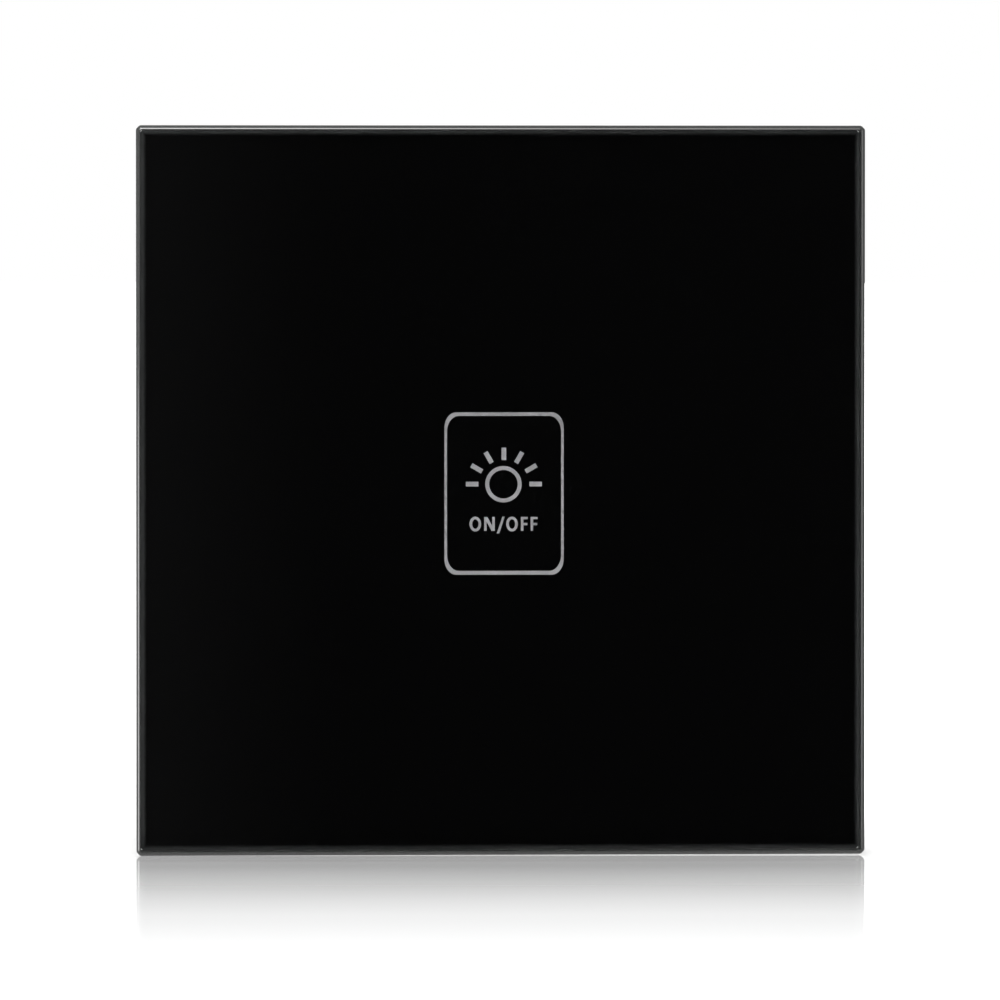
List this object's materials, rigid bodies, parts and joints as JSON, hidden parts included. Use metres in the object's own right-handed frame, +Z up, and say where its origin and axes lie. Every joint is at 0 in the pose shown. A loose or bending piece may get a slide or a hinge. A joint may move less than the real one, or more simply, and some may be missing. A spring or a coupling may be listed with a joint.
{
  "type": "touch light switch",
  "caption": "Square flush wall switch with a glass touch panel on a clipped frame, a steel bracket, a relay and power supply in a rear box, and screw wire terminals.",
  "frame": {"origin": "on the wall plane, midway between the two wall-box screws", "axes": "+X right and +Z up as seen from the room, the glass faces -Y, the rear box goes into the wall along +Y"},
  "size_m": [0.086, 0.036, 0.086],
  "materials": {
    "clear_glass": "polished, ground edges",
    "black_ink": "printed behind the glass",
    "grey_ink": "printed behind the glass",
    "white_film": "matte",
    "black_tape": "foam",
    "black_plastic": "fine spark texture",
    "zinc_steel": "zinc plated",
    "spring_steel": "blued spring steel",
    "white_plastic": "fine spark texture",
    "plated_screw": "zinc plated",
    "green_board": "solder mask",
    "spring_bronze": "bright wire",
    "white_part": "matte",
    "lamp_lens": "clear",
    "chip_black": "moulded",
    "tin": "tinned",
    "header_black": "moulded",
    "gold_pin": "plated",
    "yellow_case": "gloss",
    "sleeve": "shrink sleeve",
    "ferrite": "matte",
    "copper_wire": "enamelled",
    "blue_coat": "dipped",
    "brown_case": "moulded",
    "blue_case": "moulded",
    "soft_iron": "plated",
    "bobbin_plastic": "moulded",
    "contact_bronze": "bright",
    "grey_plastic": "moulded",
    "terminal_steel": "zinc plated"
  },
  "bodies": {
    "base": {"front_cover": "black_plastic", "mounting_bracket": "zinc_steel", "retaining_clips": "spring_steel", "rear_box": "white_plastic", "housing_screws": "plated_screw", "touch_board_screws": "plated_screw", "touch_board": "green_board", "power_board": "green_board", "touch_spring": "spring_bronze", "light_shroud": "white_part", "indicator_leds": "white_part", "led_lenses": "lamp_lens", "touch_chip": "chip_black", "power_chip": "chip_black", "bridge_rectifier": "chip_black", "chip_parts": "chip_black", "chip_leads": "tin", "chip_caps": "tin", "component_leads": "tin", "relay_pins": "tin", "header_block": "header_black", "header_socket": "header_black", "relay_base": "header_black", "header_pins": "gold_pin", "film_capacitor": "yellow_case", "electrolytic_capacitors": "sleeve", "choke_core": "ferrite", "choke_winding": "copper_wire", "relay_coil": "copper_wire", "varistor": "blue_coat", "fuse": "brown_case", "relay_case": "blue_case", "relay_yoke": "soft_iron", "relay_core": "soft_iron", "relay_bobbin": "bobbin_plastic", "relay_fixed_contacts": "contact_bronze", "terminal_bars": "contact_bronze", "terminal_blocks": "grey_plastic"},
    "front_panel": {"glass_panel": "clear_glass", "ink_mask": "black_ink", "icon_print": "grey_ink", "diffuser_film": "white_film", "adhesive_frame": "black_tape", "panel_frame": "black_plastic"},
    "armature": {"relay_armature": "soft_iron", "relay_contact_spring": "contact_bronze"},
    "screw_live": {"terminal_screw_live": "terminal_steel"},
    "cage_live": {"terminal_cage_live": "terminal_steel"},
    "screw_neutral": {"terminal_screw_neutral": "terminal_steel"},
    "cage_neutral": {"terminal_cage_neutral": "terminal_steel"},
    "screw_load": {"terminal_screw_load": "terminal_steel"},
    "cage_load": {"terminal_cage_load": "terminal_steel"}
  },
  "joints": [
    {"name": "panel_pull", "type": "slide", "parent": "base", "child": "front_panel", "axis": [0, -1, 0], "range_m": [0, 0.03], "deforming": ["retaining_clips", "touch_spring"]},
    {"name": "relay_pull_in", "type": "hinge", "parent": "base", "child": "armature", "pos_m": [0.0135, 0.01598, 0.0106], "axis": [-1, 0, 0], "range_deg": [0, 2.4], "stiffness_Nm_per_rad": 0.02, "springref_deg": -2.86},
    {"name": "screw_turn_live", "type": "hinge", "parent": "base", "child": "screw_live", "pos_m": [-0.008, 0.016, -0.018], "axis": [0, -1, 0], "range_deg": [0, 2304.1]},
    {"name": "cage_lift_live", "type": "slide", "parent": "base", "child": "cage_live", "axis": [0, 1, 0], "range_m": [0, 0.0032]},
    {"name": "screw_turn_neutral", "type": "hinge", "parent": "base", "child": "screw_neutral", "pos_m": [0, 0.016, -0.018], "axis": [0, -1, 0], "range_deg": [0, 2304.1]},
    {"name": "cage_lift_neutral", "type": "slide", "parent": "base", "child": "cage_neutral", "axis": [0, 1, 0], "range_m": [0, 0.0032]},
    {"name": "screw_turn_load", "type": "hinge", "parent": "base", "child": "screw_load", "pos_m": [0.008, 0.016, -0.018], "axis": [0, -1, 0], "range_deg": [0, 2304.1]},
    {"name": "cage_lift_load", "type": "slide", "parent": "base", "child": "cage_load", "axis": [0, 1, 0], "range_m": [0, 0.0032]}
  ],
  "couplings": [
    {"joint": "screw_turn_live", "follows": "cage_lift_live", "rad_per_m": 12566},
    {"joint": "screw_turn_neutral", "follows": "cage_lift_neutral", "rad_per_m": 12566},
    {"joint": "screw_turn_load", "follows": "cage_lift_load", "rad_per_m": 12566}
  ]
}
